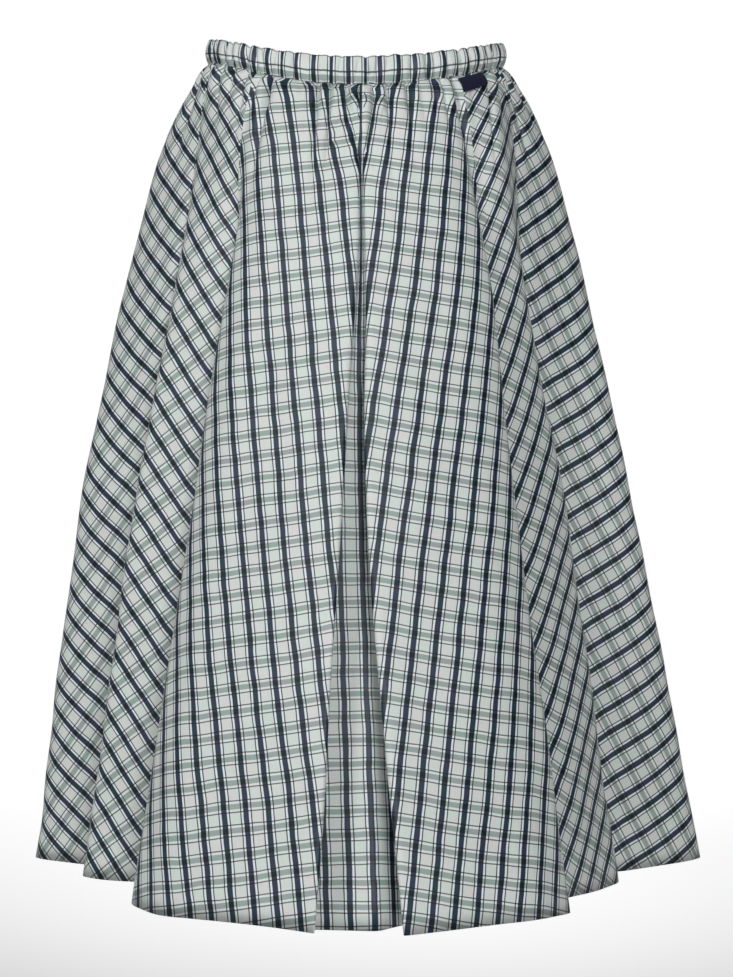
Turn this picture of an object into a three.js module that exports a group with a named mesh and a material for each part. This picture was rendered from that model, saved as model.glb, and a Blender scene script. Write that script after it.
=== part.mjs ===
// A midi skirt as it is worn: a gathered waistband, a front and a back of one flared cut each, and a
// small tag in the waist seam. Millimetres, +Z up, the front faces -Y, and the wearer's waist is the
// origin. Every cloth piece is a wall that follows rings cut through its fold lines.
import * as THREE from 'three';

// ---- Driving dimensions ----
const WAIST = { halfWidth: 130, halfDepth: 100 }; // middle of the wall, round the wearer
// The band's two edges at the sides, how far each dips at the front, and how much wider the dip is on
// the wearer's left.
const BAND = { top: 24, bottom: 3.5, topDip: 30, bottomDip: 33, leftStretch: 1.15, thickness: 3, segments: 96 };
const CLOTH = { thickness: 1.2, seamGap: 0.3 };
// The gathered cloth swells out just under the band: how far, and over which shares of the drop.
const SWELL = { out: 8.5, full: 0.02, gone: 0.15 };
const TAG = { middleTurn: 50, drop: 2.5, width: 29, height: 14, thickness: 1, gap: 0.55, steps: 6, rows: 6 };

// Where the sections of the tables lie, as shares of the way from the waist seam to the hem.
const STATION = { waist: 0, hip: 0.1, seat: 0.22, thigh: 0.43, hem: 1 };
// The rings that the walls are made of, as shares of the same way.
const RINGS = [0, 0.008, 0.02, 0.06, 0.105, 0.15, 0.2, 0.26, 0.33, 0.42, 0.52, 0.63, 0.75, 0.88, 1];

// ---- Fold lines ----
// One row for each fold line, in order round the body from the wearer's right, seen from in front as
// the left. turn: degrees round the waist from the centre front. bend: how far from the line the
// cloth starts to round off. hip, seat, thigh: [x, y]. hem: [x, y, z].
const FRONT_FOLDS = [
  { name: 'side seam right', bend: 0, turn: -96, hip: [-168, 18], seat: [-193, 30], thigh: [-227, 34], hem: [-284, 58, -705] },
  { name: 'side right', bend: 34, turn: -87, hip: [-173, 0], seat: [-198, 3], thigh: [-232, 0], hem: [-292, 14, -703] },
  { name: 'third fold start', bend: 6, turn: -72.5, hip: [-140, -38], seat: [-156, -44], thigh: [-184, -30], hem: [-243, -4, -706] },
  { name: 'second valley', bend: 10, turn: -71, hip: [-136, -41], seat: [-146, -46], thigh: [-160, -38], hem: [-200, -16, -706] },
  { name: 'second ridge', bend: 14, turn: -69.5, hip: [-133, -50], seat: [-149, -66], thigh: [-179, -76], hem: [-238, -82, -703] },
  { name: 'second face', bend: 20, turn: -56, hip: [-113, -76], seat: [-127, -84], thigh: [-153, -87], hem: [-212, -96, -705] },
  { name: 'first valley', bend: 14, turn: -39, hip: [-97, -88], seat: [-95, -95], thigh: [-106, -101], hem: [-128, -112, -706] },
  { name: 'first ridge', bend: 24, turn: -35, hip: [-89, -100], seat: [-105, -108], thigh: [-130, -126], hem: [-188, -186, -707] },
  { name: 'first shoulder', bend: 14, turn: -29, hip: [-73, -113], seat: [-85, -130], thigh: [-107, -155], hem: [-157, -227, -711] },
  { name: 'first face', bend: 30, turn: -14, hip: [-36, -122], seat: [-41, -144], thigh: [-54, -177], hem: [-90, -259, -711] },
  { name: 'pleat edge right', bend: 9, turn: 0.6, hip: [1.5, -126], seat: [1.5, -151], thigh: [-5, -189], hem: [-28, -284, -715] },
  { name: 'pleat tuck right', bend: 9, turn: 1.7, hip: [3.5, -123.5], seat: [2.5, -143], thigh: [-12, -163], hem: [-46, -243, -719] },
  { name: 'pleat crease', bend: 4, turn: 2.4, hip: [5, -122.5], seat: [5.5, -139], thigh: [6, -161], hem: [18, -252, -718.5] },
  { name: 'pleat tuck left', bend: 12, turn: 3.1, hip: [6.5, -123.5], seat: [8.5, -143], thigh: [19, -157], hem: [58, -213, -716] },
  { name: 'pleat edge left', bend: 8, turn: 4.2, hip: [8.5, -126], seat: [9, -151], thigh: [6, -189], hem: [36, -285, -716.5] },
  { name: 'first face left', bend: 30, turn: 15, hip: [40, -122], seat: [47, -144], thigh: [56, -177], hem: [92, -262, -714] },
  { name: 'first shoulder left', bend: 16, turn: 29, hip: [72, -113], seat: [88, -131], thigh: [104, -157], hem: [144, -238, -712.5] },
  { name: 'first ridge left', bend: 24, turn: 36.5, hip: [90, -102], seat: [112, -110], thigh: [131, -131], hem: [183, -196, -713] },
  { name: 'first valley left', bend: 14, turn: 40, hip: [99, -87], seat: [102, -99], thigh: [103, -116], hem: [130, -190, -712] },
  { name: 'second face left', bend: 16, turn: 56, hip: [116, -81], seat: [121, -90], thigh: [145, -90], hem: [201, -119, -711] },
  { name: 'second ridge left', bend: 16, turn: 66, hip: [127, -71], seat: [139, -75], thigh: [171, -61], hem: [229, -78, -708] },
  { name: 'second valley left', bend: 10, turn: 68, hip: [137, -38], seat: [141, -48], thigh: [150, -30], hem: [197, -26, -710] },
  { name: 'third fold start left', bend: 6, turn: 70, hip: [142, -36], seat: [150, -44], thigh: [173, -26], hem: [236, -10, -711] },
  { name: 'side left', bend: 34, turn: 87, hip: [171, -6], seat: [197, -4], thigh: [231, -4], hem: [313, 12, -703] },
  { name: 'side seam left', bend: 0, turn: 96, hip: [166, 14], seat: [191, 24], thigh: [226, 34], hem: [305, 58, -705] },
];
const BACK_FOLDS = [
  { name: 'outer ridge left', bend: 34, turn: 112, hip: [148, 65], seat: [168, 82], thigh: [207, 102], hem: [270, 150, -708] },
  { name: 'outer valley left', bend: 22, turn: 124, hip: [128, 84], seat: [136, 92], thigh: [156, 100], hem: [198, 126, -709] },
  { name: 'middle ridge left', bend: 26, turn: 138, hip: [96, 110], seat: [110, 128], thigh: [132, 158], hem: [182, 234, -711] },
  { name: 'middle valley left', bend: 20, turn: 150, hip: [66, 114], seat: [71, 128], thigh: [80, 144], hem: [98, 188, -711] },
  { name: 'inner ridge left', bend: 26, turn: 165, hip: [34, 122], seat: [37, 143], thigh: [42, 175], hem: [58, 268, -713] },
  { name: 'centre valley', bend: 20, turn: 180, hip: [1, 119], seat: [0, 135], thigh: [-2, 156], hem: [-4, 222, -712] },
  { name: 'inner ridge right', bend: 26, turn: 194, hip: [-31, 122], seat: [-36, 143], thigh: [-44, 173], hem: [-64, 262, -712] },
  { name: 'middle valley right', bend: 20, turn: 208, hip: [-62, 115], seat: [-69, 129], thigh: [-82, 146], hem: [-108, 192, -710] },
  { name: 'middle ridge right', bend: 26, turn: 222, hip: [-93, 110], seat: [-108, 127], thigh: [-131, 154], hem: [-176, 226, -709] },
  { name: 'outer valley right', bend: 22, turn: 236, hip: [-127, 84], seat: [-136, 92], thigh: [-155, 101], hem: [-188, 128, -708] },
  { name: 'outer ridge right', bend: 34, turn: 249, hip: [-150, 64], seat: [-170, 80], thigh: [-204, 99], hem: [-254, 142, -707] },
];

// ---- Waist ----
function waistXY(turn) {
  const angle = THREE.MathUtils.degToRad(turn);
  return [WAIST.halfWidth * Math.sin(angle), -WAIST.halfDepth * Math.cos(angle)];
}
function waistNormal(turn) {
  const [x, y] = waistXY(turn);
  return new THREE.Vector3(x / WAIST.halfWidth ** 2, y / WAIST.halfDepth ** 2, 0).normalize();
}
// The front of the band dips between the hips, and the back stays level. The share of the dip at one
// place round the waist.
function dip(turn) {
  const side = THREE.MathUtils.euclideanModulo(turn + 180, 360) - 180;
  const angle = THREE.MathUtils.degToRad(side > 0 ? side / BAND.leftStretch : side);
  return Math.max(0, Math.cos(angle)) ** 2;
}
const bandTop = (turn) => BAND.top - BAND.topDip * dip(turn);
const bandBottom = (turn) => BAND.bottom - BAND.bottomDip * dip(turn);
const seamHeight = (turn) => bandBottom(turn) - CLOTH.seamGap;

// ---- Sections ----
// A smooth course through five stations: cubic spans whose slopes are the mean of the chords beside.
function alongDrop(values, share) {
  const at = Object.values(STATION);
  const chord = values.slice(1).map((value, i) => (value - values[i]) / (at[i + 1] - at[i]));
  const slope = values.map((_, i) => {
    if (i === 0) return chord[0];
    if (i === chord.length) return chord[i - 1];
    const before = at[i] - at[i - 1];
    const after = at[i + 1] - at[i];
    return (chord[i - 1] * after + chord[i] * before) / (before + after);
  });
  const span = Math.min(at.findLastIndex((position) => position <= share), chord.length - 1);
  const length = at[span + 1] - at[span];
  const s = (share - at[span]) / length;
  return (2 * s ** 3 - 3 * s ** 2 + 1) * values[span] + (s ** 3 - 2 * s ** 2 + s) * length * slope[span]
    + (3 * s ** 2 - 2 * s ** 3) * values[span + 1] + (s ** 3 - s ** 2) * length * slope[span + 1];
}

// A fold line's place at one share of the way down, as [x, y, height of the hem, turn of the waist].
function foldPlace(fold, share) {
  const [waistX, waistY] = waistXY(fold.turn);
  return new THREE.Vector4(
    alongDrop([waistX, fold.hip[0], fold.seat[0], fold.thigh[0], fold.hem[0]], share),
    alongDrop([waistY, fold.hip[1], fold.seat[1], fold.thigh[1], fold.hem[1]], share),
    fold.hem[2],
    fold.turn,
  );
}

// One ring of a panel as places: rounded off at each fold line, with straight stretches between that
// are cut where they span many degrees of the waist.
const BEND_STEPS = [0, 0.5, 1];
const STRETCH_DEGREES = 9;
function ringPlaces(folds, share) {
  const corners = folds.map((fold) => foldPlace(fold, share));
  const ring = [corners[0]];
  for (let i = 1; i < corners.length; i += 1) {
    const last = i === corners.length - 1;
    const start = last ? corners[i] : cutBack(corners[i], corners[i - 1], folds[i].bend);
    const cuts = Math.ceil((folds[i].turn - folds[i - 1].turn) / STRETCH_DEGREES);
    const from = ring.at(-1);
    for (let cut = 1; cut < cuts; cut += 1) ring.push(from.clone().lerp(start, cut / cuts));
    if (last) {
      ring.push(start);
    } else {
      const end = cutBack(corners[i], corners[i + 1], folds[i].bend);
      ring.push(...BEND_STEPS.map((step) => bendPlace(start, corners[i], end, step)));
    }
  }
  return ring;
}
function cutBack(corner, neighbour, bend) {
  const distance = Math.hypot(corner.x - neighbour.x, corner.y - neighbour.y);
  return corner.clone().lerp(neighbour, Math.min(bend, 0.44 * distance) / distance);
}
function bendPlace(start, corner, end, step) {
  const before = start.clone().lerp(corner, step);
  const after = corner.clone().lerp(end, step);
  return before.lerp(after, step);
}

// The same ring as points. At the seam it lies on the waist's ellipse, which fades out below it, and
// the swell under the band is added.
const WAIST_FADE = 0.05;
function ringPoints(folds, share) {
  const fade = Math.max(0, 1 - share / WAIST_FADE) ** 2;
  const rise = Math.sin((Math.PI / 2) * Math.min(1, share / SWELL.full));
  const swell = SWELL.out * rise * Math.max(0, 1 - share / SWELL.gone) ** 2;
  return ringPlaces(folds, share).map((place) => {
    const [waistX, waistY] = waistXY(place.w);
    const top = seamHeight(place.w);
    const x = THREE.MathUtils.lerp(place.x, waistX, fade);
    const y = THREE.MathUtils.lerp(place.y, waistY, fade);
    const point = new THREE.Vector3(x, y, THREE.MathUtils.lerp(top, place.z, share));
    return point.addScaledVector(waistNormal(place.w), swell);
  });
}

// The outward direction at each point of a ring, level with the ground. At a side seam it points
// straight out to the side, so that the edges of the two panels face each other squarely.
function ringNormals(ring) {
  return ring.map((point, i) => {
    if (i === 0 || i === ring.length - 1) return new THREE.Vector3(Math.sign(point.x), 0, 0);
    const into = new THREE.Vector3().subVectors(point, ring[i - 1]).setZ(0).normalize();
    const outOf = new THREE.Vector3().subVectors(ring[i + 1], point).setZ(0).normalize();
    const along = into.add(outOf).normalize();
    return new THREE.Vector3(along.y, -along.x, 0);
  });
}

// ---- Walls ----
// A closed wall from a grid of points (rows of equal length) between an inner and an outer face.
// Rows run down the cloth and columns round it. With joined set, the last column meets the first.
function wall(outer, inner, joined = false) {
  const rows = outer.length;
  const columns = outer[0].length;
  const positions = [...outer, ...inner].flat().flatMap((point) => point.toArray());
  const index = [];
  const at = (side, row, column) => (side * rows + row) * columns + (column % columns);
  const quad = (a, b, c, d) => index.push(a, b, c, a, c, d);
  const spans = joined ? columns : columns - 1;
  for (let row = 0; row < rows - 1; row += 1) {
    for (let column = 0; column < spans; column += 1) {
      quad(at(0, row, column), at(0, row + 1, column), at(0, row + 1, column + 1), at(0, row, column + 1));
      quad(at(1, row, column), at(1, row, column + 1), at(1, row + 1, column + 1), at(1, row + 1, column));
    }
  }
  for (let column = 0; column < spans; column += 1) {
    const last = rows - 1;
    quad(at(0, 0, column), at(0, 0, column + 1), at(1, 0, column + 1), at(1, 0, column));
    quad(at(0, last, column), at(1, last, column), at(1, last, column + 1), at(0, last, column + 1));
  }
  if (!joined) {
    for (let row = 0; row < rows - 1; row += 1) {
      const last = columns - 1;
      quad(at(0, row, 0), at(1, row, 0), at(1, row + 1, 0), at(0, row + 1, 0));
      quad(at(0, row, last), at(0, row + 1, last), at(1, row + 1, last), at(1, row, last));
    }
  }
  const geometry = new THREE.BufferGeometry();
  geometry.setAttribute('position', new THREE.Float32BufferAttribute(positions, 3));
  geometry.setIndex(index);
  geometry.computeVertexNormals();
  return geometry;
}

const movedOut = (ring, normals, distance) => (
  ring.map((point, i) => point.clone().addScaledVector(normals[i], distance)));

function panel(folds) {
  const outer = [];
  const inner = [];
  for (const share of RINGS) {
    const ring = ringPoints(folds, share);
    const normals = ringNormals(ring);
    outer.push(movedOut(ring, normals, CLOTH.thickness / 2));
    inner.push(movedOut(ring, normals, -CLOTH.thickness / 2));
  }
  return wall(outer, inner);
}

// The back starts and ends a seam's gap behind the front's side seams.
function behindSeam(fold) {
  const back = ([x, y, ...z]) => [x, y + CLOTH.seamGap, ...z];
  const turnGap = THREE.MathUtils.radToDeg(CLOTH.seamGap / WAIST.halfDepth);
  return {
    ...fold, turn: fold.turn + Math.sign(fold.turn) * turnGap,
    hip: back(fold.hip), seat: back(fold.seat), thigh: back(fold.thigh), hem: back(fold.hem),
  };
}
function backFolds() {
  const left = behindSeam(FRONT_FOLDS.at(-1));
  const right = behindSeam(FRONT_FOLDS[0]);
  return [left, ...BACK_FOLDS, { ...right, turn: right.turn + 360 }];
}

// The band is one closed ring. Its section is a flat casing with rounded edges.
const BAND_SECTION = [ // out: share of half the thickness, down: share of the height
  { out: 0.45, down: 0 }, { out: 1, down: 0.07 }, { out: 1, down: 0.5 }, { out: 1, down: 0.93 }, { out: 0.45, down: 1 },
];
function waistband() {
  const sides = [1, -1].map((side) => BAND_SECTION.map(({ out, down }) => {
    const ring = [];
    for (let i = 0; i < BAND.segments; i += 1) {
      const turn = (360 * i) / BAND.segments;
      const [x, y] = waistXY(turn);
      const point = new THREE.Vector3(x, y, THREE.MathUtils.lerp(bandTop(turn), bandBottom(turn), down));
      ring.push(point.addScaledVector(waistNormal(turn), (side * out * BAND.thickness) / 2));
    }
    return ring;
  }));
  return wall(sides[0], sides[1], true);
}

// The point that lies a length down a course of points.
function downCourse(course, length) {
  let left = length;
  let i = 1;
  while (i < course.length - 1 && left > course[i].distanceTo(course[i - 1])) {
    left -= course[i].distanceTo(course[i - 1]);
    i += 1;
  }
  return course[i - 1].clone().lerp(course[i], left / course[i].distanceTo(course[i - 1]));
}

// The tag lies on the front's outer face just under the waist seam, so its points are taken along
// the first rings of the front. It keeps its width where the cloth below it widens.
function tag() {
  const rings = RINGS.slice(0, 4).map((share) => ringPoints(FRONT_FOLDS, share));
  const turns = ringPlaces(FRONT_FOLDS, RINGS[0]).map((place) => place.w);
  const outerFace = [];
  const innerFace = [];
  for (let row = 0; row <= TAG.rows; row += 1) {
    const down = TAG.drop + (TAG.height * row) / TAG.rows;
    const ring = turns.map((_, i) => downCourse(rings.map((points) => points[i]), down));
    const normals = ringNormals(ring);
    const at = (points, turn) => {
      const next = turns.findIndex((other) => other > turn);
      const between = (turn - turns[next - 1]) / (turns[next] - turns[next - 1]);
      return points[next - 1].clone().lerp(points[next], between);
    };
    const degree = at(ring, TAG.middleTurn - 0.5).distanceTo(at(ring, TAG.middleTurn + 0.5));
    const lie = [];
    const out = [];
    for (let step = 0; step <= TAG.steps; step += 1) {
      const turn = TAG.middleTurn + ((step / TAG.steps - 0.5) * TAG.width) / degree;
      lie.push(at(ring, turn));
      out.push(at(normals, turn).normalize());
    }
    const lift = CLOTH.thickness / 2 + TAG.gap;
    innerFace.push(movedOut(lie, out, lift));
    outerFace.push(movedOut(lie, out, lift + TAG.thickness));
  }
  return wall(outerFace, innerFace);
}

// ---- Pieces ----
const COLOUR = { check: '#c9cdc6', band: '#bfc4c0', tag: '#23263c' };
const material = (color, roughness) => new THREE.MeshStandardMaterial({ color, roughness, metalness: 0 });

const skirt = new THREE.Group();
function addPiece(name, geometry, finish) {
  const mesh = new THREE.Mesh(geometry, finish);
  mesh.name = name;
  skirt.add(mesh);
}
addPiece('front', panel(FRONT_FOLDS), material(COLOUR.check, 0.85));
addPiece('back', panel(backFolds()), material(COLOUR.check, 0.85));
addPiece('waistband', waistband(), material(COLOUR.band, 0.85));
addPiece('tag', tag(), material(COLOUR.tag, 0.75));

export default skirt;
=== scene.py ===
# %% [markdown]
# # A checked midi skirt, worn form
# The skirt hangs from a gathered waistband as it does on a wearer, with nobody in it. Two flared
# panels of check poplin, a front and a back, meet at the side seams. The front has a soft inverted
# pleat at its centre and two deep folds each side of it. A small dark tag is caught in the waist seam.
#
# The CAD model says where every piece is. It is loaded first and never changed, and what is made
# here lies on the same form, in metres, with +Z up and the front facing -Y.

# %% Load the frame
import math
import random
from collections import namedtuple

import bmesh
import bpy
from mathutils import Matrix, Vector, noise


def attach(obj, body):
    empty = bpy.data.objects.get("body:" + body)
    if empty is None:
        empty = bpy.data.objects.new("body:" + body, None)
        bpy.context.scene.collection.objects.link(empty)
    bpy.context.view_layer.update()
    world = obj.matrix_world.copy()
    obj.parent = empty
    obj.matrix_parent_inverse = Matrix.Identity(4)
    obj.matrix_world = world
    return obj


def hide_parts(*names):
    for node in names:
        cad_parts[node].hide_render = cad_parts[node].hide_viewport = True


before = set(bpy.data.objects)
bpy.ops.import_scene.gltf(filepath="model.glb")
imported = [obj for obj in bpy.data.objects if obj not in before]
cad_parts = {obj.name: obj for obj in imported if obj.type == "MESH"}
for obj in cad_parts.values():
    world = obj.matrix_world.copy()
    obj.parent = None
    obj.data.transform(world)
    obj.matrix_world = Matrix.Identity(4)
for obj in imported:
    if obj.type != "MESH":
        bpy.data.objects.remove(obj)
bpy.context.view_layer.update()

# %% Objects in the scene


def put_in(name, data):
    """A new object with this data, in the scene."""
    made = bpy.data.objects.new(name, data)
    bpy.context.scene.collection.objects.link(made)
    return made


def to_object(name, shape, material):
    """Makes an object of a finished bmesh, with its material."""
    mesh = bpy.data.meshes.new(name)
    shape.to_mesh(mesh)
    shape.free()
    mesh.materials.append(material)
    return put_in(name, mesh)


# %% [markdown]
# ## Camera, floor and light
# Clothes are shot from far away with a long lens, level with the middle of the garment, so that the
# waist and the hem keep their true proportions. The lens is worked out from a focal length in pixels,
# with the image's long side on a 36 mm sensor. The light is a soft box on the left in front, one
# beside the camera and a weak one behind, in a dim pale room with a bright backdrop. A room as bright
# as its backdrop would be simpler, but it would light the folds from every side and wash them out.
# So the floor, too, glows only behind the skirt.

# %% Camera
VIEW_DISTANCE = 2.1
EYE_HEIGHT = -0.3724
EYE_ASIDE = 0.00934
LONG_SIDE_PIXELS = 977
FOCAL_PIXELS = 2360
SENSOR = 36.0


def make_camera():
    data = bpy.data.cameras.new("camera")
    data.sensor_fit = "AUTO"
    data.sensor_width = SENSOR
    data.lens = SENSOR * FOCAL_PIXELS / LONG_SIDE_PIXELS
    camera = put_in("camera", data)
    camera.location = (EYE_ASIDE, -VIEW_DISTANCE, EYE_HEIGHT)
    camera.rotation_euler = (math.radians(90), 0, 0)
    bpy.context.scene.camera = camera
    print("lens", round(data.lens, 2), "mm")


make_camera()

# %% Shader sockets that can be added and multiplied


class Wire:
    """A socket of a node tree, used as a number in ordinary arithmetic."""

    def __init__(self, tree, socket=None):
        self.tree = tree
        self.socket = socket

    def node(self, kind, settings=(), inputs=(), out=0):
        """Any node: its settings first, then values or wires for its sockets."""
        made = self.tree.nodes.new(kind)
        for name, value in dict(settings).items():
            setattr(made, name, value)
        for name, value in dict(inputs).items():
            if isinstance(value, Wire):
                self.tree.links.new(value.socket, made.inputs[name])
            else:
                made.inputs[name].default_value = value
        return Wire(self.tree, made.outputs[out])

    def math(self, operation, *values, clamp=False):
        """Any step of arithmetic, on wires and numbers."""
        settings = {"operation": operation, "use_clamp": clamp}
        return self.node("ShaderNodeMath", settings, enumerate(values))

    def __add__(self, other):
        return self.math("ADD", self, other)

    def __sub__(self, other):
        return self.math("SUBTRACT", self, other)

    def __rsub__(self, other):
        return self.math("SUBTRACT", other, self)

    def __mul__(self, other):
        return self.math("MULTIPLY", self, other)

    def __truediv__(self, other):
        return self.math("DIVIDE", self, other)

    def __mod__(self, other):
        return self.math("FLOORED_MODULO", self, other)

    def __abs__(self):
        return self.math("ABSOLUTE", self)

    __radd__ = __add__

    def axis(self, number):
        """One coordinate of this vector."""
        return self.node("ShaderNodeSeparateXYZ", inputs={0: self}, out=number)

    def sine(self):
        return self.math("SINE", self)

    def larger(self, other):
        return self.math("MAXIMUM", self, other)

    def below(self, edge, soft):
        """1 where this is under the edge and 0 above it, over a soft step."""
        return self.math("MULTIPLY_ADD", edge - self, 1 / soft, 0.5, clamp=True)

    def blend(self, first, second, mode="MIX"):
        """One colour over another by this share."""
        settings = {"data_type": "RGBA", "blend_type": mode}
        return self.node("ShaderNodeMix", settings, {0: self, 6: first, 7: second}, out=2)


def linear(red, green, blue):
    """A colour given from 0 to 255 as a screen shows it, as the shader wants it."""
    return tuple(
        c / 12.92 if c <= 0.04045 else ((c + 0.055) / 1.055) ** 2.4
        for c in (red / 255, green / 255, blue / 255)
    ) + (1.0,)


def new_material(name, **constants):
    """A node material with constants on its Principled sockets, and a wire to work from."""
    material = bpy.data.materials.new(name)
    material.use_nodes = True
    shader = material.node_tree.nodes["Principled BSDF"]
    for socket, value in constants.items():
        shader.inputs[socket.replace("_", " ")].default_value = value
    return material, shader, Wire(material.node_tree)


# %% Floor and light
FLOOR_HEIGHT = -1.25
FLOOR_SPAN = 80.0
FLOOR_GREY, FLOOR_MOTTLE = 0.66, 0.03
FLOOR_NEAR, FLOOR_FAR = 1.2, 2.4  # metres out where its glow starts and is full
FLOOR_GLOW, FLOOR_GLOW_ROUND = 0.9, 0.2  # behind the skirt, and all round it
# What counts as behind: how squarely a direction points away from the camera, over a soft step.
BEHIND_FROM, BEHIND_STEP = 0.75, 0.2


def make_floor():
    material, shader, wire = new_material("pale floor", Roughness=0.9)
    place = wire.node("ShaderNodeTexCoord", out=3)
    mottle = wire.node("ShaderNodeTexNoise", inputs={"Vector": place, "Scale": 3.0})
    pale = FLOOR_GREY + mottle * FLOOR_MOTTLE
    material.node_tree.links.new(pale.socket, shader.inputs["Base Color"])
    radius = wire.node("ShaderNodeVectorMath", {"operation": "LENGTH"}, {0: place}, out=1)
    far = wire.math("DIVIDE", radius - FLOOR_NEAR, FLOOR_FAR - FLOOR_NEAR, clamp=True)
    depth = place.axis(1)
    behind = wire.math("DIVIDE", depth / radius - BEHIND_FROM, BEHIND_STEP, clamp=True)
    glow = far * (behind * (FLOOR_GLOW - FLOOR_GLOW_ROUND) + FLOOR_GLOW_ROUND)
    material.node_tree.links.new(glow.socket, shader.inputs["Emission Color"])
    shader.inputs["Emission Strength"].default_value = 1.0
    sheet = bmesh.new()
    bmesh.ops.create_grid(sheet, x_segments=1, y_segments=1, size=FLOOR_SPAN / 2)
    bmesh.ops.translate(sheet, verts=sheet.verts, vec=(0, 0, FLOOR_HEIGHT))
    to_object("floor", sheet, material)


# Each light: where it stands, how wide it is, and how much it gives, in watts.
LIGHTS = {
    "key box": ((-1.8, -2.4, 1.5), 0.5, 28.5),
    "front box": ((0.55, -3.0, 0.7), 0.7, 39),
    "back box": ((0.6, 2.6, 1.0), 1.4, 12),
}
LIGHTS_AIM = Vector((0, 0, -0.35))
# The room is bright where the camera sees it behind the skirt. Elsewhere it is dim, and its left is
# brighter than its right.
ROOM_BACKDROP, ROOM_REST, ROOM_LEFT = 1.02, 0.105, 0.09


def make_room():
    world = bpy.data.worlds.new("pale room")
    world.use_nodes = True
    wire = Wire(world.node_tree)
    direction = wire.node("ShaderNodeTexCoord", out=0)
    aside = direction.axis(0)
    depth = direction.axis(1)
    behind = wire.math("DIVIDE", depth - BEHIND_FROM, BEHIND_STEP, clamp=True)
    rest = ROOM_REST - aside * ROOM_LEFT
    strength = rest + behind * (ROOM_BACKDROP - rest)
    background = world.node_tree.nodes["Background"]
    background.inputs["Color"].default_value = (1, 1, 1, 1)
    world.node_tree.links.new(strength.socket, background.inputs["Strength"])
    bpy.context.scene.world = world
    bpy.context.scene.view_settings.view_transform = "Standard"


def make_lights():
    for name, (place, width, watts) in LIGHTS.items():
        data = bpy.data.lights.new(name, "AREA")
        data.size = width
        data.energy = watts
        light = put_in(name, data)
        light.location = place
        light.rotation_euler = (LIGHTS_AIM - Vector(place)).to_track_quat("-Z", "Y").to_euler()


make_floor()
make_room()
make_lights()

# %% [markdown]
# ## The check poplin
# The cloth is a plain weave of cotton. Every 18.7 mm the warp, which runs down the cloth, has a navy
# stripe between two white margins and two thin dark lines. The weft has a grey-green band laid out
# the same way. Where navy crosses green the cloth is darkest. A picture of cloth would be the quick
# way, but a check is made of thread counts, so it is better written as them: the distance to the
# middle of the nearest stripe decides the yarn, once for the warp and once for the weft.
#
# The pattern reads a UV map called "cut", which holds each point's place in the flat piece before it
# was sewn, in metres. So the check follows the grain round every fold.

# %% Check cloth
REPEAT = 0.0187
# Half widths as shares of the repeat, from the middle of a stripe or band outwards.
NAVY_STRIPE, GREEN_BAND = 0.124, 0.114
MARGIN = 0.213
LINE_IN, LINE_OUT = 0.214, 0.264
YARN_EDGE = 0.014  # how softly one yarn gives way to the next
# How fully the white margin of the weft shows, and the thin dark lines of the weft and the warp.
WEFT_MARGIN, WEFT_LINE, WARP_LINE = 0.45, 0.85, 0.95

GROUND = linear(228, 235, 232)
GROUND_WARM = linear(231, 226, 226)
GROUND_GREEN = linear(219, 235, 225)
WHITE_YARN = linear(238, 245, 248)
# What a yarn leaves of the light ground that it crosses.
NAVY_TINT = (0.033, 0.041, 0.088, 1)
TEAL_TINT = (0.016, 0.046, 0.064, 1)
GREEN_TINT = (0.45, 0.54, 0.49, 1)
GREY_TINT = (0.48, 0.51, 0.51, 1)
LINE_TINT = (0.018, 0.022, 0.030, 1)
CROSSING_TINT = (0.14, 0.30, 0.34, 1)

WANDER = 0.0028  # the noise rarely reaches its ends, so a yarn strays by about a seventh of this
# Soft changes in a metre: of a yarn's course, the ground and the yarns' hue.
WANDERS, DRIFTS, HUES = 26.0, 55.0, 45.0
THREAD = 0.00042  # from one thread of the weave to the next
WEAVE_DEPTH = 0.00006
THREAD_BULGE, SLUB_BULGE, WEAVE_STRENGTH = 0.5, 0.8, 0.45
SLUB_FINE, SLUB_LONG = 1300.0, 60.0  # slubs for each metre, across and along their thread
CLOTH_ROUGHNESS = 0.52
SLUB_SHADE, SLUB_SHINE, NAVY_SHINE = 0.12, 0.12, 0.06  # changes of brightness and of roughness


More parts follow.
